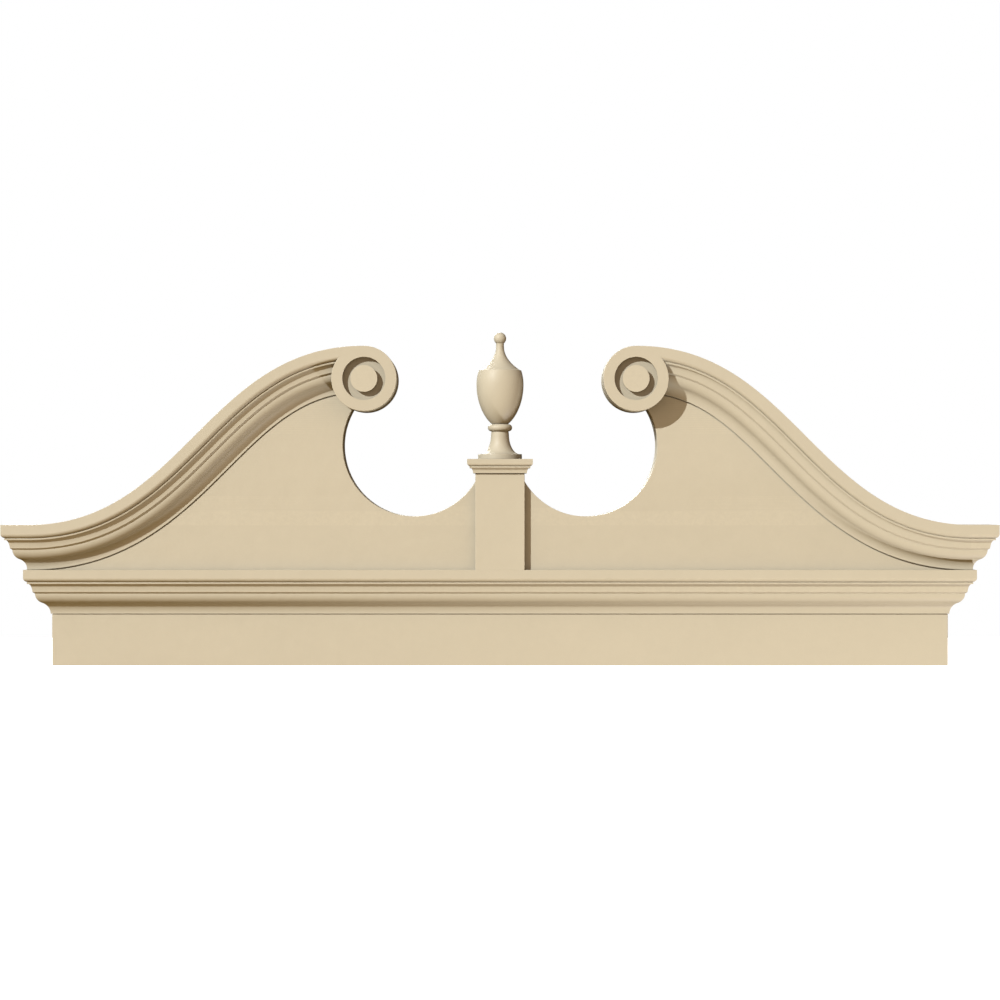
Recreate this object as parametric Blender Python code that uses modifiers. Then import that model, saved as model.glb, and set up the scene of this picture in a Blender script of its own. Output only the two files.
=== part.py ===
# A rams head pediment for the wall above a door: a frieze board and a cornice, and on them a broken
# swan-neck pediment with round scroll ends and an urn on a plinth between them.
#
# Metres, +Z up. The front looks along -Y and the wall is the plane y = 0. The origin is the fixing
# point on the back of the tympanum, on the centre line.

import math

import bmesh
import bpy
from mathutils import Matrix

# Gap in each joint between two pieces
JOINT_GAP = 0.0003

# The fixing point stands this far above the shelf that the top of the cornice makes
MOUNT_ABOVE_SHELF = 0.119

# Frieze board
FRIEZE_WIDTH = 1.524
FRIEZE_HEIGHT = 0.0885
FRIEZE_THICKNESS = 0.050
BOARD_ARRIS = 0.0012

# Crown moulding from the top down, the same on the cornice and the rakes but for its top and foot
CORNICE_FASCIA = 0.0133
RAKE_FASCIA = 0.0150
FASCIA_ARRIS_RADIUS = 0.0072
BEAD_SETBACK = 0.0055
BEAD_DROP = 0.0005
BEAD_RADIUS = 0.0022
HOLLOW_STEP = 0.0021
HOLLOW_RADIUS = 0.0092
HOLLOW_FOOT_RADIUS = 0.0335
OVOLO_STEP = 0.0030
OVOLO_LIP = 0.0008
OVOLO_RADIUS = 0.0184
CORNICE_CAVETTO_RADIUS = 0.0206
RAKE_CAVETTO_RADIUS = 0.0175
CORNICE_NECK_HEIGHT = 0.0005
RAKE_NECK_HEIGHT = 0.0022
FOOT_STEP = 0.0015

# How far the mouldings' curves lean in from upright
ROUND_TURN = math.radians(62)
HOLLOW_HEAD_LEAN = math.radians(65)
HOLLOW_WAIST_LEAN = math.radians(20)
HOLLOW_FOOT_LEAN = math.radians(4)
CYMA_LEAN = math.radians(66)

# Tympanum, which stands proud of the frieze board at the front and at both sides
TYMPANUM_ADVANCE = 0.030
TYMPANUM_SIDE_OVERHANG = 0.0357

# Round openings: the board left below them, and how far round they run to the plinth's sides
BOARD_UNDER_OPENING = 0.0904
OPENING_RADIUS = 0.1206
OPENING_LIP_ANGLE = math.radians(30.5)

# Scrolls: each overlaps its opening, and lies in this direction from the opening's centre
SCROLL_RADIUS = 0.0549
SCROLL_OVERLAP = 0.0366
SCROLL_BEARING = math.radians(126.75)
GROOVE_OUTER_RADIUS = 0.0362
GROOVE_INNER_RADIUS = 0.0226
GROOVE_DEPTH = 0.0108

# Rakes: each top edge is one S-curve from a short level run at the end to the crest of the scroll
LEVEL_RUN = 0.005
LOWER_PULL = 0.2605
UPPER_PULL = 0.2655

# Plinth and its cap
PLINTH_WIDTH = 0.0832
PLINTH_ABOVE_LIP = 0.0133
CAP_FASCIA = 0.0079
CAP_ARRIS_RADIUS = 0.0037
CAP_BEAD_SETBACK = 0.0039
CAP_BEAD_DROP = 0.0004
CAP_BEAD_RADIUS = 0.0019
CAP_HOLLOW_STEP = 0.0014
CAP_HOLLOW_RADIUS = 0.0064
CAP_HOLLOW_FOOT_RADIUS = 0.0200
CAP_FOOT_STEP = 0.0030

# Urn, from the bottom up
URN_BASE_RADIUS = 0.0373
URN_BASE_HEIGHT = 0.0083
URN_FOOT_SETBACK = 0.0028
URN_FOOT_HEIGHT = 0.0328
URN_STEM_RADIUS = 0.0153
URN_STEM_HEIGHT = 0.0060
URN_RING_RADIUS = 0.0061
URN_RING_CORE = 0.0146
URN_CUP_RADIUS = 0.0400
URN_CUP_LOWER_HEIGHT = 0.0675
URN_CUP_ROOT_RADIUS = 0.0136
URN_CUP_ROUNDING = 0.6
URN_CUP_UPPER_HEIGHT = 0.0240
URN_SHOULDER_RADIUS = 0.0361
URN_LID_EDGE_RADIUS = 0.0345
URN_LID_HEIGHT = 0.0415
URN_NECK_RADIUS = 0.0067
URN_NECK_HEIGHT = 0.0045
URN_BALL_RADIUS = 0.0105

# How finely the curves are faceted
SCROLL_SIDES = 48
OPENING_STEPS = 24
ARRIS_STEPS = 3
BEAD_STEPS = 3
HOLLOW_STEPS = 3
HOLLOW_FOOT_STEPS = 2
OVOLO_STEPS = 4
CAVETTO_STEPS = 4
RAKE_STATIONS = 26
URN_SIDES = 28
URN_FOOT_STEPS = 6
URN_RING_STEPS = 6
URN_CUP_STEPS = 9
URN_SHOULDER_STEPS = 3
URN_LID_STEPS = 7
URN_BALL_STEPS = 7

# Colour of the primer coat, as linear red, green and blue, and its gloss
PRIMER_COLOUR = (0.70, 0.59, 0.42)
PRIMER_ROUGHNESS = 0.5


def arc(centre, radius, start, end, steps):
    """Points of an arc from one angle to another, both ends included."""
    angles = [start + (end - start) * i / steps for i in range(steps + 1)]
    return [(centre[0] + radius * math.cos(a), centre[1] + radius * math.sin(a)) for a in angles]


def rounded_fascia(height, radius):
    """A flat top band and its rounded lower edge, as (setback, drop) points from the top down."""
    return [(0.0, 0.0)] + arc((radius, height), radius, math.pi, math.pi - ROUND_TURN, ARRIS_STEPS)


def bead(above, setback, drop, radius):
    """A small round under the last point above, with its front at this setback."""
    centre = (setback + radius, above[1] + drop + radius * math.sin(ROUND_TURN))
    return arc(centre, radius, math.pi + ROUND_TURN, math.pi - ROUND_TURN, BEAD_STEPS)


def concave(above, radius, start, end, steps):
    """A hollow curve that goes on from the last point above, from one lean to a lesser one."""
    centre = (above[0] - radius * math.cos(start), above[1] + radius * math.sin(start))
    return arc(centre, radius, -start, -end, steps)


def hollow(above, step, radius, foot_radius):
    """A shallow hollow that starts with a step in and runs out almost upright."""
    top = (above[0] + step, above[1])
    points = concave(top, radius, HOLLOW_HEAD_LEAN, HOLLOW_WAIST_LEAN, HOLLOW_STEPS)
    foot = concave(points[-1], foot_radius, HOLLOW_WAIST_LEAN, HOLLOW_FOOT_LEAN, HOLLOW_FOOT_STEPS)
    return points + foot[1:]


def crown_section(fascia, cavetto_radius, neck_height):
    """The crown moulding's face as (setback, drop) points from the top down to its neck."""
    points = rounded_fascia(fascia, FASCIA_ARRIS_RADIUS)
    points += bead(points[-1], BEAD_SETBACK, BEAD_DROP, BEAD_RADIUS)
    points += hollow(points[-1], HOLLOW_STEP, HOLLOW_RADIUS, HOLLOW_FOOT_RADIUS)
    lip = points[-1][0] + OVOLO_STEP
    points.append((lip, points[-1][1]))
    centre = (lip + OVOLO_RADIUS, points[-1][1] + OVOLO_LIP)
    points += arc(centre, OVOLO_RADIUS, math.pi, math.pi - CYMA_LEAN, OVOLO_STEPS)
    points += concave(points[-1], cavetto_radius, CYMA_LEAN, 0.0, CAVETTO_STEPS)[1:]
    points.append((points[-1][0], points[-1][1] + neck_height))
    return points


def cap_section():
    """The plinth cap's face as (setback, drop) points from the top down."""
    points = rounded_fascia(CAP_FASCIA, CAP_ARRIS_RADIUS)
    points += bead(points[-1], CAP_BEAD_SETBACK, CAP_BEAD_DROP, CAP_BEAD_RADIUS)
    return points + hollow(points[-1], CAP_HOLLOW_STEP, CAP_HOLLOW_RADIUS, CAP_HOLLOW_FOOT_RADIUS)


CORNICE_SECTION = crown_section(CORNICE_FASCIA, CORNICE_CAVETTO_RADIUS, CORNICE_NECK_HEIGHT)
CORNICE_PROJECTION = CORNICE_SECTION[-1][0] + FOOT_STEP
CORNICE_HEIGHT = CORNICE_SECTION[-1][1]
RAKE_SECTION = crown_section(RAKE_FASCIA, RAKE_CAVETTO_RADIUS, RAKE_NECK_HEIGHT)
RAKE_PROJECTION = RAKE_SECTION[-1][0] + FOOT_STEP
RAKE_HEIGHT = RAKE_SECTION[-1][1] + JOINT_GAP
CAP_SECTION = cap_section()
CAP_OVERHANG = CAP_SECTION[-1][0] + CAP_FOOT_STEP
CAP_HEIGHT = CAP_SECTION[-1][1] + JOINT_GAP

TYMPANUM_WIDTH = FRIEZE_WIDTH + 2 * TYMPANUM_SIDE_OVERHANG
TYMPANUM_THICKNESS = FRIEZE_THICKNESS + TYMPANUM_ADVANCE
PLINTH_DEPTH = FRIEZE_THICKNESS + CORNICE_PROJECTION
CAP_DEPTH = PLINTH_DEPTH + CAP_OVERHANG

SHELF_Z = -MOUNT_ABOVE_SHELF
FRIEZE_TOP_Z = SHELF_Z - CORNICE_HEIGHT
OPENING_X = -PLINTH_WIDTH / 2 - OPENING_RADIUS * math.cos(OPENING_LIP_ANGLE)
OPENING_Z = SHELF_Z + BOARD_UNDER_OPENING + OPENING_RADIUS
SCROLL_DISTANCE = OPENING_RADIUS + SCROLL_RADIUS - SCROLL_OVERLAP
SCROLL_X = OPENING_X + SCROLL_DISTANCE * math.cos(SCROLL_BEARING)
SCROLL_Z = OPENING_Z + SCROLL_DISTANCE * math.sin(SCROLL_BEARING)
PLINTH_TOP_Z = OPENING_Z - OPENING_RADIUS * math.sin(OPENING_LIP_ANGLE) + PLINTH_ABOVE_LIP
CAP_TOP_Z = PLINTH_TOP_Z + CAP_HEIGHT


def rake_stations():
    """The left rake's top edge as (x, z, tangent angle), from its level end to the scroll's crest."""
    start = (-TYMPANUM_WIDTH / 2 + LEVEL_RUN, SHELF_Z + RAKE_HEIGHT)
    crest = (SCROLL_X, SCROLL_Z + SCROLL_RADIUS)
    lower = (start[0] + LOWER_PULL, start[1])
    upper = (crest[0] - UPPER_PULL, crest[1])
    stations = []
    for i in range(RAKE_STATIONS + 1):
        t = i / RAKE_STATIONS
        u = 1 - t
        x, z = (
            u ** 3 * a + 3 * t * u * u * b + 3 * t * t * u * c + t ** 3 * d
            for a, b, c, d in zip(start, lower, upper, crest)
        )
        dx, dz = (
            u * u * (b - a) + 2 * t * u * (c - b) + t * t * (d - c)
            for a, b, c, d in zip(start, lower, upper, crest)
        )
        stations.append((x, z, math.atan2(dz, dx)))
    return stations


def tympanum_outline():
    """The board's outline as (x, z), clockwise from its lower left corner."""
    half = [(-TYMPANUM_WIDTH / 2, SHELF_Z + JOINT_GAP), (-TYMPANUM_WIDTH / 2, SHELF_Z + RAKE_HEIGHT)]
    half += [(x, z) for x, z, _ in rake_stations()]
    along = (SCROLL_DISTANCE ** 2 + SCROLL_RADIUS ** 2 - OPENING_RADIUS ** 2) / (2 * SCROLL_DISTANCE)
    to_opening = SCROLL_BEARING - math.pi
    scroll_end = to_opening - math.acos(along / SCROLL_RADIUS)
    meeting_x = SCROLL_X + SCROLL_RADIUS * math.cos(scroll_end)
    meeting_z = SCROLL_Z + SCROLL_RADIUS * math.sin(scroll_end)
    step = 2 * math.pi / SCROLL_SIDES
    steps = int((math.pi / 2 - scroll_end) / step)
    last = math.pi / 2 - steps * step
    half += arc((SCROLL_X, SCROLL_Z), SCROLL_RADIUS, math.pi / 2, last, steps)[1:]
    opening_start = math.atan2(meeting_z - OPENING_Z, meeting_x - OPENING_X)
    opening_end = 2 * math.pi - OPENING_LIP_ANGLE
    half += arc((OPENING_X, OPENING_Z), OPENING_RADIUS, opening_start, opening_end, OPENING_STEPS)
    half.append((-PLINTH_WIDTH / 2, PLINTH_TOP_Z - JOINT_GAP))
    return half + [(-x, z) for x, z in reversed(half)]


def primer_material(name):
    """The satin primer coat that covers every piece."""
    material = bpy.data.materials.new(name)
    material.use_nodes = True
    shader = material.node_tree.nodes["Principled BSDF"]
    shader.inputs["Base Color"].default_value = (*PRIMER_COLOUR, 1.0)
    shader.inputs["Roughness"].default_value = PRIMER_ROUGHNESS
    shader.inputs["Metallic"].default_value = 0.0
    return material


def new_collection(name):
    """A collection in the scene."""
    group = bpy.data.collections.new(name)
    bpy.context.scene.collection.children.link(group)
    return group


def add_object(name, data, group):
    """An object in one of the collections."""
    thing = bpy.data.objects.new(name, data)
    group.objects.link(thing)
    return thing


def add_piece(name, data):
    """A piece of the pediment, with its own material."""
    data.materials.append(primer_material(name + "_primer"))
    return add_object(name, data, pediment)


def add_cutter(name, data):
    """A solid that only shapes a piece."""
    cutter = add_object(name, data, cutters)
    cutter.hide_render = True
    cutter.display_type = "WIRE"
    return cutter


def finish_mesh(bm, name):
    """A mesh from bmesh geometry, with its faces pointing out."""
    bmesh.ops.recalc_face_normals(bm, faces=bm.faces)
    mesh = bpy.data.meshes.new(name)
    bm.to_mesh(mesh)
    bm.free()
    return mesh


def loft_mesh(name, rings):
    """A closed solid through rings of points that all have the same count."""
    bm = bmesh.new()
    rows = [[bm.verts.new(point) for point in ring] for ring in rings]
    count = len(rows[0])
    for row, following in zip(rows, rows[1:]):
        for i in range(count):
            j = (i + 1) % count
            bm.faces.new((row[i], row[j], following[j], following[i]))
    bm.faces.new(rows[0])
    bm.faces.new(rows[-1])
    return finish_mesh(bm, name)


def box_mesh(name, size):
    """A box about its own middle."""
    bm = bmesh.new()
    bmesh.ops.create_cube(bm, size=1.0)
    bmesh.ops.scale(bm, vec=size, verts=bm.verts)
    return finish_mesh(bm, name)


def add_board(name, width, thickness, height, front, bottom):
    """A flat board with eased arrises: its front face at y = -front, its underside at z = bottom."""
    board = add_piece(name, box_mesh(name, (width, thickness, height)))
    board.location = (0.0, thickness / 2 - front, bottom + height / 2)
    bevel = board.modifiers.new("eased arrises", "BEVEL")
    bevel.width = BOARD_ARRIS
    bevel.segments = 1


def add_wall_block(name, width, depth, levels):
    """A moulded block against the wall: each (growth, z) level is a rectangle that grows on three sides."""
    rings = []
    for growth, z in levels:
        half = width / 2 + growth
        front = -(depth + growth)
        rings.append([(-half, 0.0, z), (half, 0.0, z), (half, front, z), (-half, front, z)])
    add_piece(name, loft_mesh(name, rings))


def make_frieze_board():
    """The flat board across the bottom."""
    height = FRIEZE_HEIGHT - JOINT_GAP
    bottom = FRIEZE_TOP_Z - FRIEZE_HEIGHT
    add_board("frieze_board", FRIEZE_WIDTH, FRIEZE_THICKNESS, height, FRIEZE_THICKNESS, bottom)


def make_cornice():
    """The straight crown moulding, with its mitred returns."""
    levels = [(CORNICE_PROJECTION - setback, SHELF_Z - drop) for setback, drop in CORNICE_SECTION]
    add_wall_block("cornice", FRIEZE_WIDTH, FRIEZE_THICKNESS, levels)


def make_tympanum():
    """The flat back board, cut to the whole outline behind rakes, scrolls and plinth."""
    outline = bpy.data.curves.new("tympanum", "CURVE")
    outline.dimensions = "2D"
    outline.fill_mode = "BOTH"
    outline.extrude = TYMPANUM_THICKNESS / 2
    points = tympanum_outline()
    spline = outline.splines.new("POLY")
    spline.points.add(len(points) - 1)
    for point, (x, z) in zip(spline.points, points):
        point.co = (x, z, 0.0, 1.0)
    spline.use_cyclic_u = True
    board = add_piece("tympanum", outline)
    board.rotation_euler = (math.pi / 2, 0.0, 0.0)
    board.location = (0.0, -TYMPANUM_THICKNESS / 2, 0.0)


def rake_rings():
    """Cross-sections of the left rake: the return at the wall, the mitre, then along the S-curve."""
    back = JOINT_GAP
    section = [(RAKE_PROJECTION - setback, drop) for setback, drop in RAKE_SECTION]
    section = [(back, 0.0)] + section + [(back, section[-1][1])]
    stations = rake_stations()
    side = -TYMPANUM_WIDTH / 2
    top = stations[0][1]
    rings = [
        [(side - out, 0.0, top - drop) for out, drop in section],
        [(side - out, -TYMPANUM_THICKNESS - out, top - drop) for out, drop in section],
    ]
    for x, z, angle in stations:
        ring = []
        for out, drop in section:
            ring.append((x + drop * math.sin(angle), -TYMPANUM_THICKNESS - out, z - drop * math.cos(angle)))
        rings.append(ring)
    return rings


def scroll_mesh(name, side):
    """The scroll's round disc, as deep as the rake stands proud of the tympanum."""
    depth = RAKE_PROJECTION - JOINT_GAP
    centre = (side * SCROLL_X, -TYMPANUM_THICKNESS - JOINT_GAP - depth / 2, SCROLL_Z)
    bm = bmesh.new()
    radius = SCROLL_RADIUS
    bmesh.ops.create_cone(
        bm, cap_ends=True, segments=SCROLL_SIDES, radius1=radius, radius2=radius, depth=depth
    )
    placing = Matrix.Translation(centre) @ Matrix.Rotation(math.pi / 2, 4, "X")
    bmesh.ops.transform(bm, matrix=placing, verts=bm.verts)
    return finish_mesh(bm, name)


def add_turned(name, profile, sides, add):
    """A profile of (radius, height) points turned about the vertical axis."""
    bm = bmesh.new()
    verts = [bm.verts.new((radius, 0.0, height)) for radius, height in profile]
    for upper, lower in zip(verts, verts[1:]):
        bm.edges.new((upper, lower))
    if profile[-1][0] > 0.0:
        bm.edges.new((verts[-1], verts[0]))
    mesh = bpy.data.meshes.new(name)
    bm.to_mesh(mesh)
    bm.free()
    turned = add(name, mesh)
    screw = turned.modifiers.new("turning", "SCREW")
    screw.steps = sides
    screw.render_steps = sides
    screw.use_merge_vertices = True
    screw.merge_threshold = 0.00001
    screw.use_smooth_shade = False
    return turned


def make_rake(name, side):
    """A rake with its scroll joined on and the round groove sunk in the scroll's face."""
    rings = [[(side * x, y, z) for x, y, z in ring] for ring in rake_rings()]
    rake = add_piece(name, loft_mesh(name, rings))
    scroll = add_cutter(name + "_scroll", scroll_mesh(name + "_scroll", side))
    face = RAKE_PROJECTION + TYMPANUM_THICKNESS
    ring_profile = [
        (GROOVE_OUTER_RADIUS, GROOVE_DEPTH),
        (GROOVE_OUTER_RADIUS, -GROOVE_DEPTH),
        (GROOVE_INNER_RADIUS, -GROOVE_DEPTH),
        (GROOVE_INNER_RADIUS, GROOVE_DEPTH),
    ]
    groove = add_turned(name + "_groove", ring_profile, SCROLL_SIDES, add_cutter)
    groove.location = (side * SCROLL_X, -face, SCROLL_Z)
    groove.rotation_euler = (math.pi / 2, 0.0, 0.0)
    for operand, operation in ((scroll, "UNION"), (groove, "DIFFERENCE")):
        boolean = rake.modifiers.new(operand.name, "BOOLEAN")
        boolean.operation = operation
        boolean.object = operand


def make_plinth_block():
    """The narrow board on the tympanum, flush with the cornice's top band."""
    thickness = PLINTH_DEPTH - TYMPANUM_THICKNESS - JOINT_GAP
    bottom = SHELF_Z + JOINT_GAP
    height = PLINTH_TOP_Z - JOINT_GAP - bottom
    add_board("plinth_block", PLINTH_WIDTH, thickness, height, PLINTH_DEPTH, bottom)


def make_plinth_cap():
    """The moulded cap over the plinth and the board behind it."""
    levels = [(CAP_OVERHANG - setback, CAP_TOP_Z - drop) for setback, drop in CAP_SECTION]
    add_wall_block("plinth_cap", PLINTH_WIDTH, PLINTH_DEPTH, levels)


def urn_profile():
    """The urn's outline as (radius, height) points, from the ball down to the middle of the base."""
    foot_top = URN_BASE_HEIGHT + URN_FOOT_HEIGHT
    ring_z = foot_top + URN_STEM_HEIGHT + URN_RING_RADIUS
    cup_root = ring_z + URN_RING_RADIUS
    cup_wide = cup_root + URN_CUP_LOWER_HEIGHT
    shoulder = cup_wide + URN_CUP_UPPER_HEIGHT
    lid_top = shoulder + URN_LID_HEIGHT
    neck_angle = math.asin(URN_NECK_RADIUS / URN_BALL_RADIUS)
    ball_z = lid_top + URN_NECK_HEIGHT + URN_BALL_RADIUS * math.cos(neck_angle)
    points = arc((0.0, ball_z), URN_BALL_RADIUS, math.pi / 2, neck_angle - math.pi / 2, URN_BALL_STEPS)
    points[0] = (0.0, ball_z + URN_BALL_RADIUS)
    flare = URN_LID_EDGE_RADIUS - URN_NECK_RADIUS
    for i in range(URN_LID_STEPS + 1):
        turn = math.pi / 2 * i / URN_LID_STEPS
        radius = URN_LID_EDGE_RADIUS - flare * math.cos(turn)
        points.append((radius, lid_top - URN_LID_HEIGHT * math.sin(turn)))
    narrowing = math.acos(URN_SHOULDER_RADIUS / URN_CUP_RADIUS)
    rise = URN_CUP_UPPER_HEIGHT / math.sin(narrowing)
    for i in range(URN_SHOULDER_STEPS + 1):
        turn = narrowing * (1 - i / URN_SHOULDER_STEPS)
        points.append((URN_CUP_RADIUS * math.cos(turn), cup_wide + rise * math.sin(turn)))
    closing = (URN_CUP_ROOT_RADIUS / URN_CUP_RADIUS) ** (1 / URN_CUP_ROUNDING)
    full_depth = URN_CUP_LOWER_HEIGHT / math.sqrt(1 - closing)
    for i in range(1, URN_CUP_STEPS + 1):
        fall = URN_CUP_LOWER_HEIGHT * math.sin(math.pi / 2 * i / URN_CUP_STEPS)
        radius = URN_CUP_RADIUS * (1 - (fall / full_depth) ** 2) ** URN_CUP_ROUNDING
        points.append((radius, cup_wide - fall))
    points += arc((URN_RING_CORE, ring_z), URN_RING_RADIUS, math.pi / 2, -math.pi / 2, URN_RING_STEPS)[1:]
    flare = URN_BASE_RADIUS - URN_FOOT_SETBACK - URN_STEM_RADIUS
    for i in range(URN_FOOT_STEPS + 1):
        turn = math.pi / 2 * i / URN_FOOT_STEPS
        radius = URN_STEM_RADIUS + flare * (1 - math.cos(turn))
        points.append((radius, foot_top - URN_FOOT_HEIGHT * math.sin(turn)))
    points += [(URN_BASE_RADIUS, URN_BASE_HEIGHT), (URN_BASE_RADIUS, 0.0), (0.0, 0.0)]
    return points


def make_urn():
    """The turned urn, which stands in the middle of the cap."""
    urn = add_turned("urn", urn_profile(), URN_SIDES, add_piece)
    urn.location = (0.0, -CAP_DEPTH / 2, CAP_TOP_Z + JOINT_GAP)


for leftover in list(bpy.data.objects):
    bpy.data.objects.remove(leftover)

pediment = new_collection("rams_head_pediment")
cutters = new_collection("cutters")

make_frieze_board()
make_cornice()
make_tympanum()
make_rake("left_rake", 1)
make_rake("right_rake", -1)
make_plinth_block()
make_plinth_cap()
make_urn()
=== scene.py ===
import math

import bmesh
import bpy
from mathutils import Matrix, Vector


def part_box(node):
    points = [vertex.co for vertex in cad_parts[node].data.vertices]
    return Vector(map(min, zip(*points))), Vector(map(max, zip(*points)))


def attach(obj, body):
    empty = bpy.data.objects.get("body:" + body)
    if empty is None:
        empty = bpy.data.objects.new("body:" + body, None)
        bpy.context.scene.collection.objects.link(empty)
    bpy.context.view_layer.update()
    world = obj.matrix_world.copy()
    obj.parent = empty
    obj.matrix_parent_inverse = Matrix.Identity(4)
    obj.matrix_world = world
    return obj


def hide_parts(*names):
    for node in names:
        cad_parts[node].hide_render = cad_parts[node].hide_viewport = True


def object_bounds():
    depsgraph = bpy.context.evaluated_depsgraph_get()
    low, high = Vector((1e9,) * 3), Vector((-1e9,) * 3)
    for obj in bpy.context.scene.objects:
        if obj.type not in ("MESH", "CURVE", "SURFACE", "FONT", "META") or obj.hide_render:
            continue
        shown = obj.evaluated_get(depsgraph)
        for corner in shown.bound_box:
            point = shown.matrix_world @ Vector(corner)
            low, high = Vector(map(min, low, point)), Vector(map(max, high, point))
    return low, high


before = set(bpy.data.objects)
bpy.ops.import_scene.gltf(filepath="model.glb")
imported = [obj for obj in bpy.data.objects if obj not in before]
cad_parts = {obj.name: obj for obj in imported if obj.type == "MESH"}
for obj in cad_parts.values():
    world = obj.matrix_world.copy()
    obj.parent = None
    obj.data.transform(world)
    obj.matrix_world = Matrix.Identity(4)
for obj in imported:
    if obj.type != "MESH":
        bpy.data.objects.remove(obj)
cad_low, cad_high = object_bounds()


# Frieze board: the flat board at the bottom, which rests on the tops of the pilasters.
# It is moulded in rigid foam, sawn square at the ends and sprayed with a tan primer.
# The arrises are eased with sandpaper before the primer goes on.

FRIEZE_ARRIS = 0.0011
CRISP_CORNER = math.radians(25)
EASED_SHARE = 0.45
SHARP_EDGE = math.radians(38)
RUBBED_WIDTH = 0.0010
SUNK_WIDTH = 0.0032
BEND = math.radians(10)
RIPPLE_HEIGHT = 0.0006
GRAIN_HEIGHT = 0.00005

SATIN_FINEST = 0.46
SATIN_COARSEST = 0.56
RUBBED_LIGHTER = 0.05
RUBBED_GLOSSIER = 0.06
# Painted shade: how much darker the sunk lines are coloured.
SUNK_PAINTED_SHADE = 0.07
SUNK_DULLER = 0.12
FRIEZE_TAN = (0.697, 0.622, 0.447)


def eased(section, radius, steps=4):
    """A section whose crisp corners are rounded off by a small radius. Its first and last points stay."""
    points = [Vector(point) for point in section]
    soft = [points[0]]
    for before, corner, after in zip(points, points[1:], points[2:]):
        back, ahead = before - corner, after - corner
        turn = math.pi - back.angle(ahead)
        if turn < CRISP_CORNER:
            soft.append(corner)
            continue
        reach = min(radius * math.tan(turn / 2), EASED_SHARE * back.length, EASED_SHARE * ahead.length)
        start, end = corner + back.normalized() * reach, corner + ahead.normalized() * reach
        for i in range(steps + 1):
            t = i / steps
            soft.append(start * (1 - t) ** 2 + corner * 2 * t * (1 - t) + end * t * t)
    return soft + [points[-1]]


def loft(rings):
    """A closed skin through rings of points that all have the same count."""
    bm = bmesh.new()
    rows = [[bm.verts.new(point) for point in ring] for ring in rings]
    for row, following in zip(rows, rows[1:]):
        for i in range(len(row)):
            j = (i + 1) % len(row)
            bm.faces.new((row[i], row[j], following[j], following[i]))
    bm.faces.new(rows[0])
    bm.faces.new(rows[-1])
    return bm


def mark_edges(bm):
    """Sets which edges shade crisp, and marks the rubbed arrises with 1 and the sunk lines, which get
    painted shade, with -1.
    """
    bmesh.ops.recalc_face_normals(bm, faces=bm.faces)
    bm.normal_update()
    wear_and_shade = bm.faces.layers.float.new("wear_and_shade")
    for edge in bm.edges:
        edge.smooth = edge.calc_face_angle(0.0) < SHARP_EDGE
    for face in bm.faces:
        face.smooth = True
        width = face.calc_area() / max(edge.calc_length() for edge in face.edges)
        bends = [edge.calc_face_angle_signed(0.0) for edge in face.edges]
        if width < RUBBED_WIDTH and max(bends) > BEND:
            face[wear_and_shade] = 1.0
        # Thin faces in a concave bend are the sunk lines, which are coloured with painted shade.
        elif width < SUNK_WIDTH and min(bends) < -BEND:
            face[wear_and_shade] = -1.0


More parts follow.
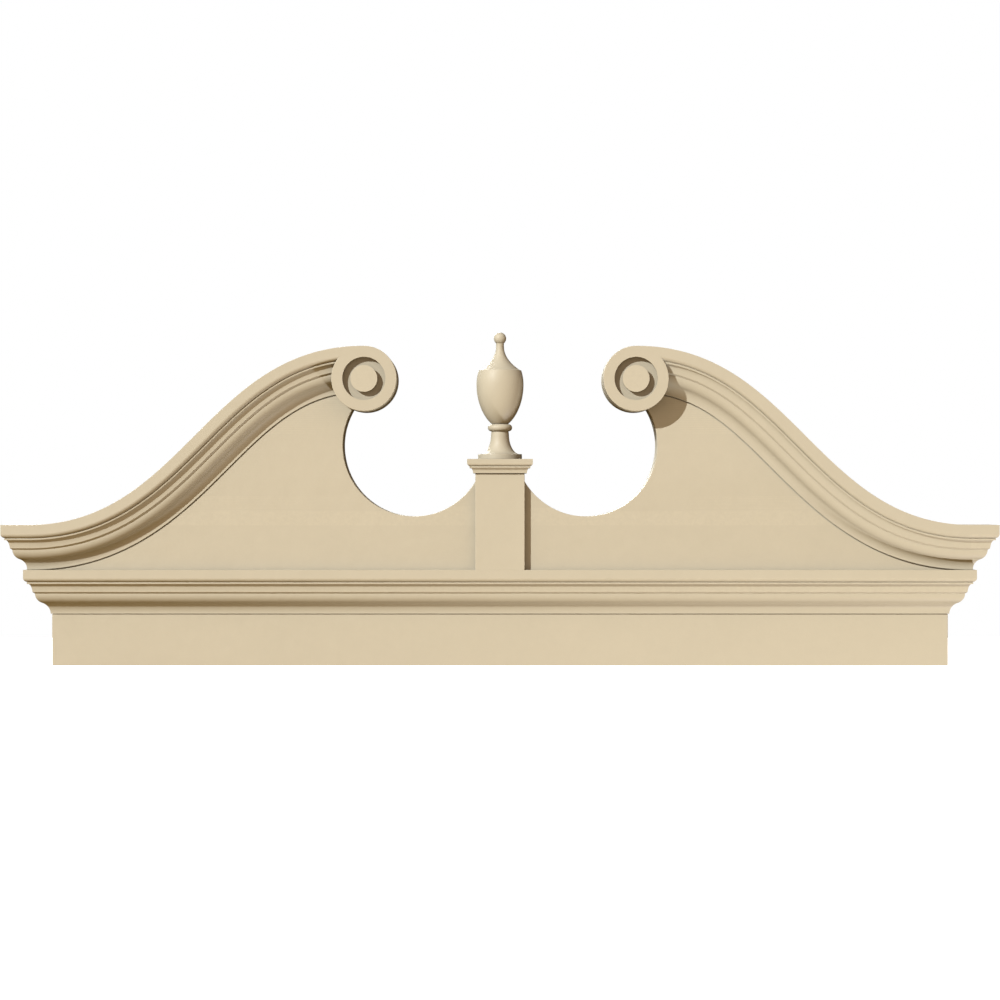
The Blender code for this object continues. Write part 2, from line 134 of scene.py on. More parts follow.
def primer_coat(name, colour, mottle, peel, seed):
    """Sprayed satin primer: faintly mottled, thin on the arrises, and dull with painted shade in the sunk
    lines.
    """
    material = bpy.data.materials.new(name)
    material.use_nodes = True
    nodes, links = material.node_tree.nodes, material.node_tree.links
    shader = nodes["Principled BSDF"]
    place = nodes.new("ShaderNodeTexCoord")
    shift = nodes.new("ShaderNodeMapping")
    shift.inputs["Location"].default_value = (seed * 3.1, seed * 1.7, seed * 2.3)
    links.new(place.outputs["Object"], shift.inputs["Vector"])

    def noise(scale, detail, roughness):
        texture = nodes.new("ShaderNodeTexNoise")
        texture.inputs["Scale"].default_value = scale
        texture.inputs["Detail"].default_value = detail
        texture.inputs["Roughness"].default_value = roughness
        links.new(shift.outputs["Vector"], texture.inputs["Vector"])
        return texture.outputs["Fac"]

    def spread(source, from_low, from_high, to_low, to_high):
        rescale = nodes.new("ShaderNodeMapRange")
        for label, value in (
            ("From Min", from_low), ("From Max", from_high), ("To Min", to_low), ("To Max", to_high)
        ):
            rescale.inputs[label].default_value = value
        links.new(source, rescale.inputs["Value"])
        return rescale.outputs["Result"]

    def combine(operation, first, second):
        sum_of = nodes.new("ShaderNodeMath")
        sum_of.operation = operation
        for socket, value in zip(sum_of.inputs, (first, second)):
            if isinstance(value, float):
                socket.default_value = value
            else:
                links.new(value, socket)
        return sum_of.outputs["Value"]

    broad = spread(noise(9.0, 3.0, 0.5), 0.3, 0.7, -mottle, mottle)
    patchy = spread(noise(70.0, 4.0, 0.6), 0.3, 0.7, -mottle, mottle)
    speckle = spread(noise(420.0, 2.0, 0.5), 0.3, 0.7, -0.5 * mottle, 0.5 * mottle)
    marks = nodes.new("ShaderNodeAttribute")
    marks.attribute_name = "wear_and_shade"
    uneven = spread(noise(160.0, 3.0, 0.6), 0.35, 0.65, 0.2, 1.0)
    worn = combine("MULTIPLY", combine("MAXIMUM", marks.outputs["Fac"], 0.0), uneven)
    # The sunk lines' mask: it colours them darker as painted shade and makes their satin duller.
    sunk_shade_and_dullness = combine("MINIMUM", marks.outputs["Fac"], 0.0)
    tone = combine("ADD", combine("ADD", broad, patchy), speckle)
    tone = combine("ADD", tone, combine("MULTIPLY", worn, RUBBED_LIGHTER))
    # Painted shade: the sunk lines are coloured darker.
    tone = combine("ADD", tone, combine("MULTIPLY", sunk_shade_and_dullness, SUNK_PAINTED_SHADE))

    tint = nodes.new("ShaderNodeMix")
    tint.data_type = "RGBA"
    tint.inputs["A"].default_value = (*(c * 0.9 for c in colour), 1.0)
    tint.inputs["B"].default_value = (*(c * 1.1 for c in colour), 1.0)
    links.new(spread(tone, -0.1, 0.1, 0.0, 1.0), tint.inputs["Factor"])
    links.new(tint.outputs["Result"], shader.inputs["Base Color"])

    satin = spread(noise(55.0, 3.0, 0.5), 0.3, 0.7, SATIN_FINEST, SATIN_COARSEST)
    gloss = combine("ADD", satin, combine("MULTIPLY", worn, -RUBBED_GLOSSIER))
    gloss = combine("SUBTRACT", gloss, combine("MULTIPLY", sunk_shade_and_dullness, SUNK_DULLER))
    links.new(gloss, shader.inputs["Roughness"])
    shader.inputs["Metallic"].default_value = 0.0
    shader.inputs["IOR"].default_value = 1.45

    ripple = nodes.new("ShaderNodeBump")
    ripple.inputs["Strength"].default_value = 1.0
    ripple.inputs["Distance"].default_value = RIPPLE_HEIGHT
    links.new(spread(noise(38.0, 2.0, 0.5), 0.0, 1.0, 0.0, peel), ripple.inputs["Height"])
    grain = nodes.new("ShaderNodeBump")
    grain.inputs["Strength"].default_value = 1.0
    grain.inputs["Distance"].default_value = GRAIN_HEIGHT
    links.new(spread(noise(520.0, 3.0, 0.55), 0.0, 1.0, 0.0, peel), grain.inputs["Height"])
    links.new(ripple.outputs["Normal"], grain.inputs["Normal"])
    links.new(grain.outputs["Normal"], shader.inputs["Normal"])
    return material


def hang(name, bm, material, node):
    """Puts a finished piece on the wall in place of its solid."""
    mark_edges(bm)
    mesh = bpy.data.meshes.new(name)
    bm.to_mesh(mesh)
    bm.free()
    mesh.materials.append(material)
    piece = bpy.data.objects.new(name, mesh)
    bpy.context.scene.collection.objects.link(piece)
    even = piece.modifiers.new("flat faces shade flat", "WEIGHTED_NORMAL")
    even.keep_sharp = True
    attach(piece, "root")
    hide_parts(node)


def board(low, high, arris):
    """A flat board with eased arrises between two opposite corners."""
    bm = bmesh.new()
    bmesh.ops.create_cube(bm, size=1.0)
    bmesh.ops.scale(bm, vec=high - low, verts=bm.verts)
    bmesh.ops.translate(bm, vec=(low + high) / 2, verts=bm.verts)
    bmesh.ops.bevel(bm, geom=bm.edges[:], offset=arris, segments=4, profile=0.5, affect="EDGES")
    return bm


def sawn_off(bm, z):
    """A piece cut off square at a height, so that it beds flat on what is under it."""
    geometry = bm.verts[:] + bm.edges[:] + bm.faces[:]
    cut = bmesh.ops.bisect_plane(
        bm, geom=geometry, plane_co=(0.0, 0.0, z), plane_no=(0.0, 0.0, 1.0), clear_inner=True
    )
    rim = [item for item in cut["geom_cut"] if isinstance(item, bmesh.types.BMEdge)]
    bmesh.ops.contextual_create(bm, geom=rim)
    return bm


frieze_low, frieze_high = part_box("frieze_board")
hang(
    "frieze",
    board(frieze_low, frieze_high, FRIEZE_ARRIS),
    primer_coat("primer_on_frieze", FRIEZE_TAN, mottle=0.010, peel=1.0, seed=1),
    "frieze_board",
)


# Cornice: the straight crown moulding over the frieze, with a return mitred on at each end.
# It is moulded in foam from a steel pattern, so its curves are true and its arrises slightly soft.
# A small step at its foot covers the joint with the frieze board.

CORNICE_FASCIA = 0.0135
FASCIA_ARRIS_RADIUS = 0.0069
BEAD_SETBACK = 0.0054
BEAD_DROP = 0.0002
BEAD_TOP_RADIUS = 0.0020
BEAD_FOOT_RADIUS = 0.0046
HOLLOW_STEP = 0.0028
HOLLOW_RADIUS = 0.0120
HOLLOW_FOOT_RADIUS = 0.0555
SPLAY_HEIGHT = 0.0028
OVOLO_SETBACK = 0.0176
OVOLO_RADIUS = 0.0172
CORNICE_CAVETTO_RADIUS = 0.0202
CORNICE_NECK_HEIGHT = 0.0001
ROUND_TURN = math.radians(72)
BEAD_TOP_TURN = math.radians(62)
BEAD_FOOT_TURN = math.radians(25)
HOLLOW_HEAD_LEAN = math.radians(50)
HOLLOW_WAIST_LEAN = math.radians(15)
HOLLOW_FOOT_LEAN = math.radians(7)
CYMA_LEAN = math.radians(68)
MOULDED_ARRIS = 0.0004
CORNICE_FLAT_INSET = 0.0381

CORNICE_TAN = (0.697, 0.622, 0.447)


def arc(centre, radius, start, end, steps):
    """Points of an arc from one angle to another, both ends included."""
    angles = [start + (end - start) * i / steps for i in range(steps + 1)]
    return [(centre[0] + radius * math.cos(a), centre[1] + radius * math.sin(a)) for a in angles]


def rounded_fascia(height, radius):
    """A flat top band and its rounded lower edge, as (setback, drop) points from the top down."""
    return [(0.0, 0.0)] + arc((radius, height), radius, math.pi, math.pi - ROUND_TURN, 12)


def bead(above, setback, drop, radius, foot_radius):
    """A small round under the last point above, with its front at this setback and a flatter foot."""
    level = above[1] + drop + radius * math.sin(BEAD_TOP_TURN)
    points = arc((setback + radius, level), radius, math.pi + BEAD_TOP_TURN, math.pi, 8)
    foot_centre = (setback + foot_radius, level)
    return points + arc(foot_centre, foot_radius, math.pi, math.pi - BEAD_FOOT_TURN, 6)[1:]


def concave(above, radius, start, end, steps):
    """A hollow curve that goes on from the last point above, from one lean to a lesser one."""
    centre = (above[0] - radius * math.cos(start), above[1] + radius * math.sin(start))
    return arc(centre, radius, -start, -end, steps)


def hollow(above, step, radius, foot_radius):
    """A shallow hollow that starts with a step in and runs out almost upright."""
    points = concave((above[0] + step, above[1]), radius, HOLLOW_HEAD_LEAN, HOLLOW_WAIST_LEAN, 10)
    return points + concave(points[-1], foot_radius, HOLLOW_WAIST_LEAN, HOLLOW_FOOT_LEAN, 8)[1:]


def crown_face(fascia, cavetto_radius, neck_height):
    """The crown moulding's face as (setback, drop) points from its top arris down to its foot."""
    face = rounded_fascia(fascia, FASCIA_ARRIS_RADIUS)
    face += bead(face[-1], BEAD_SETBACK, BEAD_DROP, BEAD_TOP_RADIUS, BEAD_FOOT_RADIUS)
    face += hollow(face[-1], HOLLOW_STEP, HOLLOW_RADIUS, HOLLOW_FOOT_RADIUS)
    centre = (OVOLO_SETBACK + OVOLO_RADIUS, face[-1][1] + SPLAY_HEIGHT)
    face += arc(centre, OVOLO_RADIUS, math.pi, math.pi - CYMA_LEAN, 20)
    face += concave(face[-1], cavetto_radius, CYMA_LEAN, 0.0, 20)[1:]
    face.append((face[-1][0], face[-1][1] + neck_height))
    return face


def wrap_block(low, high, overhang, section):
    """A moulded block against the wall. Its section of (growth, z) levels wraps round three sides, and
    starts and ends inside the block, where its flat top and bottom close."""
    rings = []
    for growth, z in section:
        left, right = low.x + overhang - growth, high.x - overhang + growth
        front = low.y + overhang - growth
        rings.append([(left, high.y, z), (right, high.y, z), (right, front, z), (left, front, z)])
    return loft(rings)


cornice_low, cornice_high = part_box("cornice")
cornice_overhang = frieze_low.x - cornice_low.x
cornice_section = [(-CORNICE_FLAT_INSET, cornice_high.z)]
for setback, drop in crown_face(CORNICE_FASCIA, CORNICE_CAVETTO_RADIUS, CORNICE_NECK_HEIGHT):
    cornice_section.append((cornice_overhang - setback, cornice_high.z - drop))
cornice_section.append((-CORNICE_FLAT_INSET, cornice_section[-1][1]))
hang(
    "straight_cornice",
    wrap_block(cornice_low, cornice_high, cornice_overhang, eased(cornice_section, MOULDED_ARRIS)),
    primer_coat("primer_on_cornice", CORNICE_TAN, mottle=0.010, peel=0.8, seed=2),
    "cornice",
)


# Tympanum: the big back board, cut to the swan-neck outline with its two round openings and the tongue.
# It is sawn from thick moulded foam sheet, and its cut edges are sanded and primed like its face.
# A fine groove is run in its face along the foot of each rake.

TYMPANUM_ARRIS = 0.0010
RAKE_DROP = 0.07615
LEVEL_RUN = 0.005
LOWER_PULL = 0.2605
UPPER_PULL = 0.2655
SCROLL_RADIUS = 0.0549
BOARD_UNDER_OPENING = 0.0904
OPENING_RADIUS = 0.1206
OPENING_LIP_ANGLE = math.radians(30.5)
FOOT_GROOVE_WIDTH = 0.0018
FOOT_GROOVE_DEPTH = 0.0026
SAWN_CURVE_STEPS = 120
WELD = 0.00002

TYMPANUM_TAN = (0.697, 0.622, 0.447)

tympanum_low, tympanum_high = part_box("tympanum")
rake_low, rake_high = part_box("left_rake")
plinth_low, plinth_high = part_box("plinth_block")
shelf_z = cornice_high.z
scroll_centre = Vector((rake_high.x - SCROLL_RADIUS, tympanum_high.z - SCROLL_RADIUS))
opening_centre = Vector((
    plinth_low.x - OPENING_RADIUS * math.cos(OPENING_LIP_ANGLE),
    shelf_z + BOARD_UNDER_OPENING + OPENING_RADIUS,
))


def swan_neck(count):
    """The left rake's top edge as (x, z, slope) from its level end to the crest of its scroll."""
    start = Vector((tympanum_low.x + LEVEL_RUN, shelf_z + RAKE_DROP))
    crest = scroll_centre + Vector((0.0, SCROLL_RADIUS))
    lower = start + Vector((LOWER_PULL, 0.0))
    upper = crest - Vector((UPPER_PULL, 0.0))
    line = []
    for i in range(count + 1):
        t = i / count
        u = 1 - t
        point = start * u ** 3 + lower * 3 * t * u * u + upper * 3 * t * t * u + crest * t ** 3
        way = (lower - start) * u * u + (upper - lower) * 2 * t * u + (crest - upper) * t * t
        line.append((point.x, point.y, math.atan2(way.y, way.x)))
    return line


def tympanum_outline():
    """The board's whole outline as (x, z), clockwise from below its lower left corner."""
    half = [(tympanum_low.x, shelf_z - 2 * TYMPANUM_ARRIS), (tympanum_low.x, shelf_z + RAKE_DROP)]
    half += [(x, z) for x, z, slope in swan_neck(SAWN_CURVE_STEPS)]
    apart = opening_centre - scroll_centre
    along = (apart.length ** 2 + SCROLL_RADIUS ** 2 - OPENING_RADIUS ** 2) / (2 * apart.length)
    scroll_end = math.atan2(apart.y, apart.x) - math.acos(along / SCROLL_RADIUS)
    half += arc(scroll_centre, SCROLL_RADIUS, math.pi / 2, scroll_end, 60)[1:]
    meeting = Vector(half[-1]) - opening_centre
    opening_start = math.atan2(meeting.y, meeting.x)
    half += arc(opening_centre, OPENING_RADIUS, opening_start, 2 * math.pi - OPENING_LIP_ANGLE, 96)[1:]
    half.append((plinth_low.x, plinth_high.z))
    return half + [(-x, z) for x, z in reversed(half)]


def mesh_of(bm):
    """A mesh from bmesh geometry."""
    bmesh.ops.recalc_face_normals(bm, faces=bm.faces)
    mesh = bpy.data.meshes.new("blank")
    bm.to_mesh(mesh)
    bm.free()
    return mesh


def worked(blank, *steps):
    """A blank that is joined with, or cut by, other solids in turn."""
    things = [bpy.data.objects.new("blank", blank)]
    for tool, operation in steps:
        things.append(bpy.data.objects.new("tool", mesh_of(tool)))
        boolean = things[0].modifiers.new("step", "BOOLEAN")
        boolean.operation = operation
        boolean.object = things[-1]
    for thing in things:
        bpy.context.scene.collection.objects.link(thing)
    done = things[0].evaluated_get(bpy.context.evaluated_depsgraph_get())
    bm = bmesh.new()
    bm.from_mesh(done.to_mesh())
    bmesh.ops.remove_doubles(bm, verts=bm.verts, dist=WELD)
    bmesh.ops.dissolve_degenerate(bm, edges=bm.edges, dist=WELD)
    for thing in things:
        bpy.data.objects.remove(thing)
    return bm


def sawn_board():
    """The board as a filled outline, as thick as its solid, with its arrises rounded."""
    outline = bpy.data.curves.new("tympanum_outline", "CURVE")
    outline.dimensions = "2D"
    outline.fill_mode = "BOTH"
    thickness = tympanum_high.y - tympanum_low.y
    outline.extrude = thickness / 2 - TYMPANUM_ARRIS
    outline.bevel_depth = TYMPANUM_ARRIS
    outline.bevel_resolution = 2
    outline.offset = -TYMPANUM_ARRIS
    points = tympanum_outline()
    spline = outline.splines.new("POLY")
    spline.points.add(len(points) - 1)
    for point, (x, z) in zip(spline.points, points):
        point.co = (x, z, 0.0, 1.0)
    spline.use_cyclic_u = True
    drawn = bpy.data.objects.new("tympanum_outline", outline)
    bpy.context.scene.collection.objects.link(drawn)
    mesh = bpy.data.meshes.new_from_object(drawn.evaluated_get(bpy.context.evaluated_depsgraph_get()))
    bpy.data.objects.remove(drawn)
    middle = (tympanum_low.y + tympanum_high.y) / 2
    mesh.transform(Matrix.Translation((0.0, middle, 0.0)) @ Matrix.Rotation(math.pi / 2, 4, "X"))
    bm = bmesh.new()
    bm.from_mesh(mesh)
    bmesh.ops.remove_doubles(bm, verts=bm.verts, dist=WELD)
    return sawn_off(bm, shelf_z)


def foot_groove(side):
    """The fine groove's cutter: a small trapezium that follows the foot of one rake."""
    face = tympanum_low.y
    flare = FOOT_GROOVE_WIDTH / 6
    section = [
        (-flare, -FOOT_GROOVE_DEPTH),
        (0.0, FOOT_GROOVE_DEPTH),
        (FOOT_GROOVE_WIDTH, FOOT_GROOVE_DEPTH),
        (FOOT_GROOVE_WIDTH + flare, -FOOT_GROOVE_DEPTH),
    ]
    rings = []
    for x, z, slope in swan_neck(SAWN_CURVE_STEPS):
        ring = []
        for out, depth in section:
            drop = RAKE_DROP + out
            ring.append((side * (x + drop * math.sin(slope)), face + depth, z - drop * math.cos(slope)))
        rings.append(ring)
    return loft(rings)


hang(
    "tympanum_board",
    worked(mesh_of(sawn_board()), (foot_groove(1), "DIFFERENCE"), (foot_groove(-1), "DIFFERENCE")),
    primer_coat("primer_on_tympanum", TYMPANUM_TAN, mottle=0.010, peel=1.0, seed=3),
    "tympanum",
)


# Rakes: the two swan-neck crown mouldings, each in one piece with its round scroll and its return.
# They are moulded in foam in mirror-image moulds, then glued and pinned to the tympanum.
# The ring sunk in the scroll's flat face leaves a round boss in its middle.

RAKE_FASCIA = 0.0152
RAKE_CAVETTO_RADIUS = 0.0171
RAKE_NECK_HEIGHT = 0.0019
RING_OUTER_RADIUS = 0.0362
RING_INNER_RADIUS = 0.0226
RING_DEPTH = 0.0108
RING_ARRIS = 0.0003
SCROLL_ARRIS = 0.0010
JOINT_GAP = 0.0003
MOULDED_CURVE_STEPS = 150
SCROLL_SIDES = 144

RAKE_TAN = (0.697, 0.622, 0.447)

rake_projection = tympanum_low.y - rake_low.y


def turned(profile, sides):
    """A solid turned about the vertical axis from (radius, height) points. Radius 0 makes a pole."""
    bm = bmesh.new()
    rows = []
    for radius, height in profile:
        count = sides if radius > 0.0 else 1
        angles = [2 * math.pi * i / sides for i in range(count)]
        rows.append([bm.verts.new((radius * math.cos(a), radius * math.sin(a), height)) for a in angles])
    if profile[0][0] > 0.0:
        rows.append(rows[0])
    for row, following in zip(rows, rows[1:]):
        for i in range(sides):
            j = (i + 1) % sides
            corners = [row[i % len(row)], row[j % len(row)], following[j % len(following)]]
            corners.append(following[i % len(following)])
            bm.faces.new(list(dict.fromkeys(corners)))
    return bm


def rake_moulding(side):
    """The crown moulding: its return from the wall, the mitre, then its sweep along the swan neck."""
    face = crown_face(RAKE_FASCIA, RAKE_CAVETTO_RADIUS, RAKE_NECK_HEIGHT)
    section = [(JOINT_GAP, 0.0)] + [(rake_projection - setback, drop) for setback, drop in face]
    section.append((JOINT_GAP, section[-1][1]))
    section = eased(section, MOULDED_ARRIS)
    top = shelf_z + RAKE_DROP
    front = tympanum_low.y
    rings = [
        [(side * (tympanum_low.x - out), 0.0, top - drop) for out, drop in section],
        [(side * (tympanum_low.x - out), front - out, top - drop) for out, drop in section],
    ]
    for x, z, slope in swan_neck(MOULDED_CURVE_STEPS):
        sin, cos = math.sin(slope), math.cos(slope)
        rings.append([(side * (x + drop * sin), front - out, z - drop * cos) for out, drop in section])
    return loft(rings)


def stand_up(bm, side):
    """Turns a disc to face forward and puts it at a scroll's centre, on the face of the rake."""
    place = Vector((side * scroll_centre.x, rake_low.y, scroll_centre.y))
    bmesh.ops.transform(
        bm, matrix=Matrix.Translation(place) @ Matrix.Rotation(math.pi / 2, 4, "X"), verts=bm.verts
    )
    return bm


def scroll_disc(side):
    """The scroll's round body, as deep as the rake, with its front arris eased."""
    deep = rake_projection - JOINT_GAP
    profile = [(0.0, 0.0), (SCROLL_RADIUS, 0.0), (SCROLL_RADIUS, -deep), (0.0, -deep)]
    return stand_up(turned([tuple(point) for point in eased(profile, SCROLL_ARRIS)], SCROLL_SIDES), side)


def ring_cutter(side):
    """What is sunk in the scroll's face: a square-bottomed ring whose upper arrises are eased."""
    ease = RING_ARRIS
    profile = [(RING_INNER_RADIUS, -RING_DEPTH), (RING_OUTER_RADIUS, -RING_DEPTH)]
    profile += arc((RING_OUTER_RADIUS + ease, -ease), ease, math.pi, math.pi / 2, 4)
    profile += [(RING_OUTER_RADIUS + ease, ease), (RING_INNER_RADIUS - ease, ease)]
    profile += arc((RING_INNER_RADIUS - ease, -ease), ease, math.pi / 2, 0.0, 4)
    return stand_up(turned(profile, SCROLL_SIDES), side)


for side, name, node, seed in (
    (1, "left_swan_neck", "left_rake", 4),
    (-1, "right_swan_neck", "right_rake", 5),
):
    moulding = mesh_of(rake_moulding(side))
    hang(
        name,
        worked(moulding, (scroll_disc(side), "UNION"), (ring_cutter(side), "DIFFERENCE")),
        primer_coat("primer_on_" + node, RAKE_TAN, mottle=0.010, peel=0.8, seed=seed),
        node,
    )


# Plinth: the narrow block that carries the urn, its face flush with the top band of the cornice.
# It is moulded in foam and glued to the tongue of the tympanum.

PLINTH_ARRIS = 0.0009

PLINTH_TAN = (0.697, 0.622, 0.447)

plinth_foot = Vector((plinth_low.x, plinth_low.y, shelf_z - 2 * PLINTH_ARRIS))
hang(
    "plinth",
    sawn_off(board(plinth_foot, plinth_high, PLINTH_ARRIS), shelf_z),
    primer_coat("primer_on_plinth", PLINTH_TAN, mottle=0.010, peel=1.0, seed=6),
    "plinth_block",
)


# Plinth cap: a small moulded cap that is glued on the block and on the tongue behind it.
# It is moulded in foam in one piece, with the same fascia, bead and hollow as the crown, only finer.

CAP_FASCIA = 0.0073
CAP_ARRIS_RADIUS = 0.0042
CAP_BEAD_SETBACK = 0.0039
CAP_BEAD_DROP = 0.0004
CAP_BEAD_TOP_RADIUS = 0.0019
CAP_BEAD_FOOT_RADIUS = 0.0040
CAP_HOLLOW_STEP = 0.0020
CAP_HOLLOW_RADIUS = 0.0095
CAP_HOLLOW_FOOT_RADIUS = 0.0299
CAP_FLAT_INSET = 0.0104

CAP_TAN = (0.697, 0.622, 0.447)


def cap_face():
    """The cap's face as (setback, drop) points from its top arris down to its foot."""
    face = rounded_fascia(CAP_FASCIA, CAP_ARRIS_RADIUS)
    face += bead(face[-1], CAP_BEAD_SETBACK, CAP_BEAD_DROP, CAP_BEAD_TOP_RADIUS, CAP_BEAD_FOOT_RADIUS)
    return face + hollow(face[-1], CAP_HOLLOW_STEP, CAP_HOLLOW_RADIUS, CAP_HOLLOW_FOOT_RADIUS)


cap_low, cap_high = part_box("plinth_cap")
cap_overhang = plinth_low.x - cap_low.x
cap_section = [(-CAP_FLAT_INSET, cap_high.z)]
for setback, drop in cap_face():
    cap_section.append((cap_overhang - setback, cap_high.z - drop))
cap_section.append((-CAP_FLAT_INSET, cap_low.z))
hang(
    "cap",
    wrap_block(cap_low, cap_high, cap_overhang, eased(cap_section, MOULDED_ARRIS)),
    primer_coat("primer_on_cap", CAP_TAN, mottle=0.010, peel=0.8, seed=7),
    "plinth_cap",
)


# Urn: the finial, turned in one piece with its foot, ring, cup, lid and ball, and pinned to the cap.
# The pattern for its mould was turned on a lathe, so its outline is one smooth run of curves.

URN_SIDES = 120
URN_BASE_RADIUS = 0.0373
URN_BASE_HEIGHT = 0.0083
URN_FOOT_SETBACK = 0.0028
URN_FOOT_HEIGHT = 0.0328
URN_STEM_RADIUS = 0.0153
URN_STEM_HEIGHT = 0.0060
URN_RING_RADIUS = 0.0061
URN_RING_CORE = 0.0146
URN_CUP_RADIUS = 0.0400
URN_CUP_LOWER_HEIGHT = 0.0675
URN_CUP_ROOT_RADIUS = 0.0136
URN_CUP_ROUNDING = 0.6
URN_CUP_UPPER_HEIGHT = 0.0240
URN_SHOULDER_RADIUS = 0.0361
URN_LID_EDGE_RADIUS = 0.0345
URN_LID_HEIGHT = 0.0415
URN_LID_SPREAD = 2.2
URN_NECK_RADIUS = 0.0067
URN_NECK_HEIGHT = 0.0045
URN_BALL_RADIUS = 0.0105

URN_TAN = (0.697, 0.622, 0.447)


def urn_profile():
    """The urn's outline as (radius, height) points, from the top of the ball down to the base."""
    foot_top = URN_BASE_HEIGHT + URN_FOOT_HEIGHT
    ring_z = foot_top + URN_STEM_HEIGHT + URN_RING_RADIUS
    cup_root = ring_z + URN_RING_RADIUS
    cup_wide = cup_root + URN_CUP_LOWER_HEIGHT
    shoulder = cup_wide + URN_CUP_UPPER_HEIGHT
    lid_top = shoulder + URN_LID_HEIGHT
    neck_angle = math.asin(URN_NECK_RADIUS / URN_BALL_RADIUS)
    ball_z = lid_top + URN_NECK_HEIGHT + URN_BALL_RADIUS * math.cos(neck_angle)
    points = arc((0.0, ball_z), URN_BALL_RADIUS, math.pi / 2, neck_angle - math.pi / 2, 18)
    points[0] = (0.0, ball_z + URN_BALL_RADIUS)
    lid_flare = URN_LID_EDGE_RADIUS - URN_NECK_RADIUS
    for i in range(25):
        share = math.sin(math.pi / 2 * i / 24)
        radius = URN_NECK_RADIUS + lid_flare * share ** URN_LID_SPREAD
        points.append((radius, lid_top - URN_LID_HEIGHT * share))
    narrowing = math.acos(URN_SHOULDER_RADIUS / URN_CUP_RADIUS)
    rise = URN_CUP_UPPER_HEIGHT / math.sin(narrowing)
    for i in range(13):
        turn = narrowing * (1 - i / 12)
        points.append((URN_CUP_RADIUS * math.cos(turn), cup_wide + rise * math.sin(turn)))
    closing = (URN_CUP_ROOT_RADIUS / URN_CUP_RADIUS) ** (1 / URN_CUP_ROUNDING)
    full_depth = URN_CUP_LOWER_HEIGHT / math.sqrt(1 - closing)
    for i in range(1, 29):
        fall = URN_CUP_LOWER_HEIGHT * math.sin(math.pi / 2 * i / 28)
        radius = URN_CUP_RADIUS * (1 - (fall / full_depth) ** 2) ** URN_CUP_ROUNDING
        points.append((radius, cup_wide - fall))
    points += arc((URN_RING_CORE, ring_z), URN_RING_RADIUS, math.pi / 2, -math.pi / 2, 16)[1:]
    foot_flare = URN_BASE_RADIUS - URN_FOOT_SETBACK - URN_STEM_RADIUS
    for i in range(21):
        turn = math.pi / 2 * i / 20
        radius = URN_STEM_RADIUS + foot_flare * (1 - math.cos(turn))
        points.append((radius, foot_top - URN_FOOT_HEIGHT * math.sin(turn)))
    points += [(URN_BASE_RADIUS, URN_BASE_HEIGHT), (URN_BASE_RADIUS, 0.0), (0.0, 0.0)]
    return points


urn_low, urn_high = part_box("urn")
urn_solid = turned([tuple(point) for point in eased(urn_profile(), MOULDED_ARRIS)], URN_SIDES)
urn_foot = Vector((0.0, (urn_low.y + urn_high.y) / 2, urn_low.z))
bmesh.ops.translate(urn_solid, vec=urn_foot, verts=urn_solid.verts)
hang("finial", urn_solid, primer_coat("primer_on_urn", URN_TAN, mottle=0.008, peel=0.6, seed=8), "urn")


# Floor: a plain white studio floor well below the pediment. The camera sees it glow white, and it
# neither lights nor shades the pediment. The room around it is white for the camera alone.

FLOOR_DROP = 0.60
FLOOR_REACH = 15.0

FLOOR_WHITE = (1.0, 1.0, 1.0, 1.0)

floor_paint = bpy.data.materials.new("white_floor")
floor_paint.use_nodes = True
floor_shader = floor_paint.node_tree.nodes["Principled BSDF"]
floor_shader.inputs["Base Color"].default_value = FLOOR_WHITE
floor_shader.inputs["Emission Color"].default_value = FLOOR_WHITE
floor_shader.inputs["Emission Strength"].default_value = 1.0
floor_mesh = bpy.data.meshes.new("floor")
floor_z = cad_low.z - FLOOR_DROP
floor_mesh.from_pydata(
    [(x * FLOOR_REACH, y * FLOOR_REACH, floor_z) for x, y in ((-1, -1), (1, -1), (1, 1), (-1, 1))],
    [],
    [(0, 1, 2, 3)],
)
floor_mesh.materials.append(floor_paint)
floor = bpy.data.objects.new("floor", floor_mesh)
bpy.context.scene.collection.objects.link(floor)
floor.visible_diffuse = False
floor.visible_glossy = False
floor.visible_shadow = False

studio = bpy.data.worlds.new("studio")
studio.use_nodes = True
studio.node_tree.nodes["Background"].inputs["Color"].default_value = FLOOR_WHITE
studio.node_tree.nodes["Background"].inputs["Strength"].default_value = 1.0
studio.cycles_visibility.diffuse = False
studio.cycles_visibility.glossy = False
bpy.context.scene.world = studio


# Lights: a hard key from the upper left front, two wide soft lights in front, a spot low on the right
# for the undersides of the mouldings, and one behind for the back. No light bounces between the faces,
# so the shadows stay as flat and crisp as in the photograph.

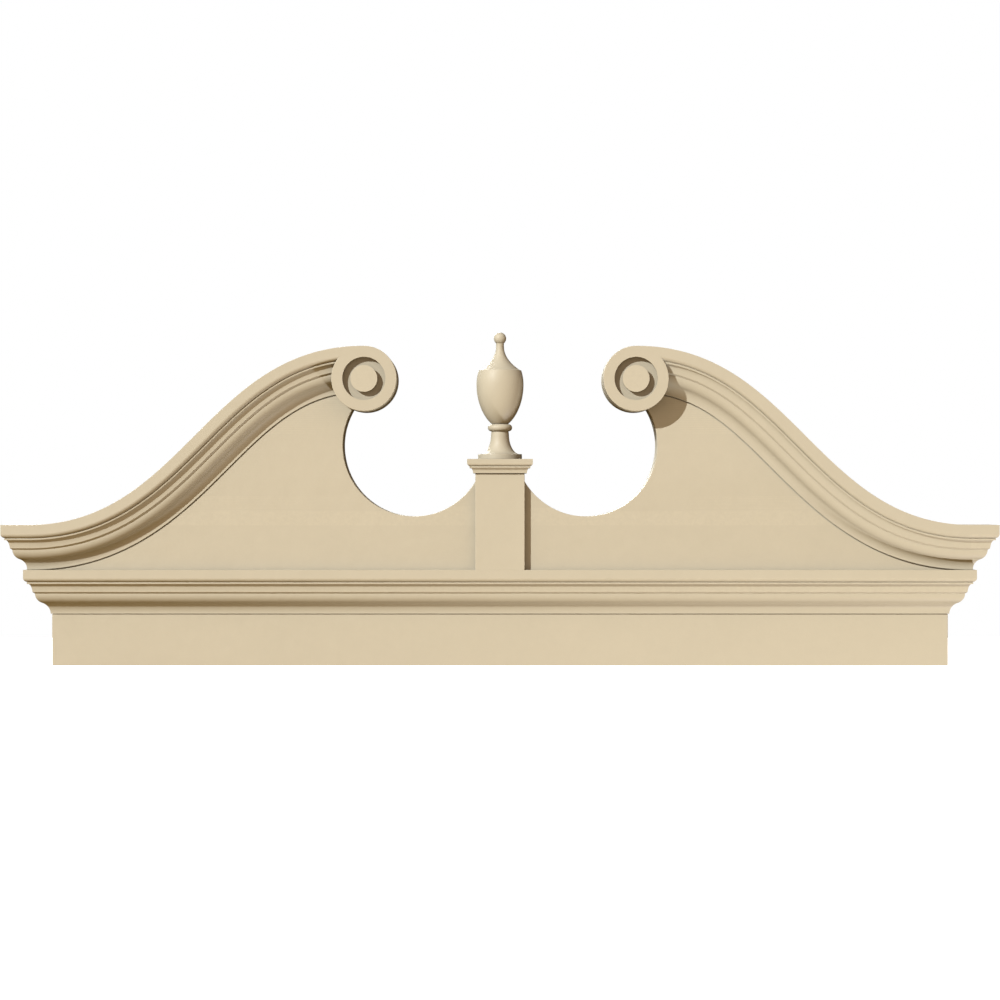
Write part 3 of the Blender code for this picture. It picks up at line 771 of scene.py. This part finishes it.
LAMP_STAND = (0.0, 0.0, 2.0)
KEY_WAY = (0.85, 1.0, -0.70)
KEY_COLOUR = (0.90, 0.94, 1.0)
KEY_STRENGTH = 3.04
KEY_DISC = math.radians(0.8)
SOFT_WAY = (0.0, 1.0, -0.8)
SOFT_COLOUR = (0.88, 0.85, 1.0)
SOFT_STRENGTH = 0.72
SOFT_DISC = math.radians(140)
FILL_WAY = (0.0, 1.0, 0.35)
FILL_COLOUR = (1.0, 0.63, 0.15)
FILL_STRENGTH = 0.78
FILL_DISC = math.radians(170)
BACK_WAY = (0.3, -1.0, -0.5)
BACK_COLOUR = (1.0, 1.0, 1.0)
BACK_STRENGTH = 2.6
BACK_DISC = math.radians(30)
SPOT_PLACE = (1.67, -0.25, -2.12)
SPOT_WAY = (-0.4540, 0.06, 0.8910)
SPOT_COLOUR = (0.92, 0.93, 1.0)
SPOT_POWER = 142.0
SPOT_CONE = math.radians(52)
SPOT_BULB_RADIUS = 0.05


def aimed(light, place, way):
    """Puts a light in the scene so that it shines one way."""
    lamp = bpy.data.objects.new(light.name, light)
    lamp.location = place
    lamp.rotation_euler = Vector(way).to_track_quat("-Z", "Y").to_euler()
    bpy.context.scene.collection.objects.link(lamp)


def sun(name, way, colour, strength, disc):
    """A light from far away: the wider its disc, the softer its shadows."""
    light = bpy.data.lights.new(name, "SUN")
    light.color = colour
    light.energy = strength
    light.angle = disc
    aimed(light, LAMP_STAND, way)


sun("key", KEY_WAY, KEY_COLOUR, KEY_STRENGTH, KEY_DISC)
sun("soft", SOFT_WAY, SOFT_COLOUR, SOFT_STRENGTH, SOFT_DISC)
sun("fill", FILL_WAY, FILL_COLOUR, FILL_STRENGTH, FILL_DISC)
sun("behind", BACK_WAY, BACK_COLOUR, BACK_STRENGTH, BACK_DISC)
spot = bpy.data.lights.new("spot", "SPOT")
spot.color = SPOT_COLOUR
spot.energy = SPOT_POWER
spot.shadow_soft_size = SPOT_BULB_RADIUS
spot.spot_size = SPOT_CONE
spot.spot_blend = 1.0
aimed(spot, SPOT_PLACE, SPOT_WAY)
bpy.context.scene.cycles.diffuse_bounces = 0


# Camera: straight in front of the pediment and level with its fixing point, with a long lens,
# so that the mitred ends and the scrolls' outer walls barely show.

CAMERA_PLACE = (0.0, -5.494, -0.0009)
CAMERA_LENS = 115.2
CAMERA_SENSOR = 36.0

eye = bpy.data.cameras.new("camera")
eye.lens = CAMERA_LENS
eye.sensor_width = CAMERA_SENSOR
camera = bpy.data.objects.new("camera", eye)
camera.location = CAMERA_PLACE
camera.rotation_euler = (math.pi / 2, 0.0, 0.0)
bpy.context.scene.collection.objects.link(camera)
bpy.context.scene.camera = camera
bpy.context.scene.view_settings.view_transform = "Standard"
